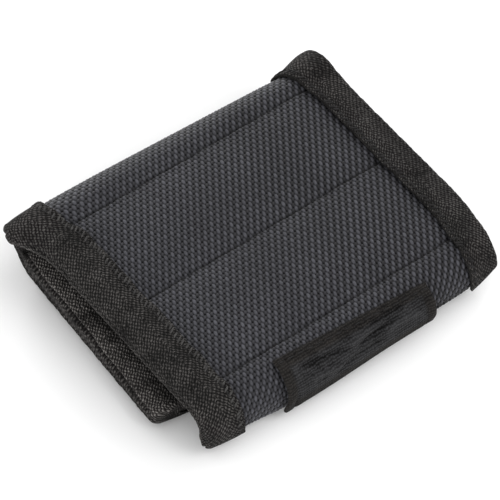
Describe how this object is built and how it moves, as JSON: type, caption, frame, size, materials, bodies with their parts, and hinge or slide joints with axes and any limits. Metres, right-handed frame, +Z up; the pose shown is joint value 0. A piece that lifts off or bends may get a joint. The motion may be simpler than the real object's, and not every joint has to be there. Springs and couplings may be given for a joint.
{
  "type": "magnetic wristband",
  "caption": "Wide padded fabric wristband that holds screws and bits on magnets in its stitched pockets, bound at its edges, with a closing tab; shown folded into a flat loop.",
  "frame": {"origin": "under the middle of the folded band's bounding box, on the surface it stands on", "axes": "+Z up, +X to the right across the band, -Y towards the curled front end with the tab"},
  "size_m": [0.0954, 0.0822, 0.0196],
  "materials": {
    "cover_cloth": "woven ballistic-type polyester, coarse basket weave, dull",
    "lining_cloth": "plain knitted lining, matt",
    "binding_tape": "twill-woven binding tape, matt",
    "foam": "open-cell foam",
    "magnet": "nickel-plated disc magnet",
    "tab_web": "creased woven tab, matt",
    "hook": "nylon hook tape",
    "loop": "brushed nylon loop tape"
  },
  "bodies": {
    "lower_leaf": {"lower_cover": "cover_cloth", "lower_lining": "lining_cloth", "lower_binding_left": "binding_tape", "lower_binding_right": "binding_tape", "lower_pad_1": "foam", "lower_magnet_1": "magnet", "lower_magnet_2": "magnet", "lower_magnet_3": "magnet", "lower_pad_2": "foam", "lower_magnet_4": "magnet", "lower_magnet_5": "magnet", "lower_magnet_6": "magnet", "tail_binding": "binding_tape", "loop_patch": "loop"},
    "fold_1": {"fold_cover_1": "cover_cloth", "fold_lining_1": "lining_cloth", "fold_binding_left_1": "binding_tape", "fold_binding_right_1": "binding_tape", "fold_pad_1": "foam"},
    "fold_2": {"fold_cover_2": "cover_cloth", "fold_lining_2": "lining_cloth", "fold_binding_left_2": "binding_tape", "fold_binding_right_2": "binding_tape", "fold_pad_2": "foam"},
    "fold_3": {"fold_cover_3": "cover_cloth", "fold_lining_3": "lining_cloth", "fold_binding_left_3": "binding_tape", "fold_binding_right_3": "binding_tape", "fold_pad_3": "foam"},
    "top_leaf": {"top_cover": "cover_cloth", "top_lining": "lining_cloth", "top_binding_left": "binding_tape", "top_binding_right": "binding_tape", "top_pad_1": "foam", "top_magnet_1": "magnet", "top_magnet_2": "magnet", "top_magnet_3": "magnet", "top_pad_2": "foam", "top_magnet_4": "magnet", "top_magnet_5": "magnet", "top_magnet_6": "magnet"},
    "front_1": {"front_cover_1": "cover_cloth", "front_lining_1": "lining_cloth", "front_binding_left_1": "binding_tape", "front_binding_right_1": "binding_tape", "front_pad_1": "foam"},
    "front_2": {"front_cover_2": "cover_cloth", "front_lining_2": "lining_cloth", "front_binding_left_2": "binding_tape", "front_binding_right_2": "binding_tape", "front_pad_2": "foam", "front_end_facing": "cover_cloth"},
    "tab": {"closing_tab": "tab_web", "hook_patch": "hook"}
  },
  "joints": [
    {"name": "fold_lower", "type": "hinge", "parent": "lower_leaf", "child": "fold_1", "pos_m": [0.00163, 0.0302, 0.0002], "axis": [-0.9993, 0.0384, 0], "range_deg": [0, 30.74]},
    {"name": "fold_open", "type": "hinge", "parent": "fold_1", "child": "fold_2", "pos_m": [0.00232, 0.03879, 0.00532], "axis": [-0.9993, 0.0384, 0], "range_deg": [0, 61.47]},
    {"name": "fold_upper", "type": "hinge", "parent": "fold_2", "child": "fold_3", "pos_m": [0.00267, 0.03839, 0.01533], "axis": [-0.9993, 0.0384, 0], "range_deg": [0, 61.48]},
    {"name": "fold_top", "type": "hinge", "parent": "fold_3", "child": "top_leaf", "pos_m": [0.00268, 0.02941, 0.01977], "axis": [-0.9993, 0.0384, 0], "range_deg": [0, 30.74]},
    {"name": "front_upper", "type": "hinge", "parent": "top_leaf", "child": "front_1", "pos_m": [0.00269, -0.03171, 0.01507], "axis": [-1, 0.0001, -0.0029], "range_deg": [0, 43.01]},
    {"name": "front_lower", "type": "hinge", "parent": "front_1", "child": "front_2", "pos_m": [0.00269, -0.03785, 0.01209], "axis": [-1, 0.0001, -0.0029], "range_deg": [0, 43.01]},
    {"name": "tab_open", "type": "hinge", "parent": "front_1", "child": "tab", "pos_m": [0.00268, -0.03419, 0.01538], "axis": [-1, 0.0001, -0.0029], "range_deg": [0, 100]}
  ],
  "couplings": [
    {"joint": "fold_lower", "follows": "fold_open", "ratio": 0.5},
    {"joint": "fold_upper", "follows": "fold_open", "ratio": 1},
    {"joint": "fold_top", "follows": "fold_open", "ratio": 0.5},
    {"joint": "front_upper", "follows": "tab_open", "ratio": 0.43},
    {"joint": "front_lower", "follows": "tab_open", "ratio": 0.43}
  ]
}
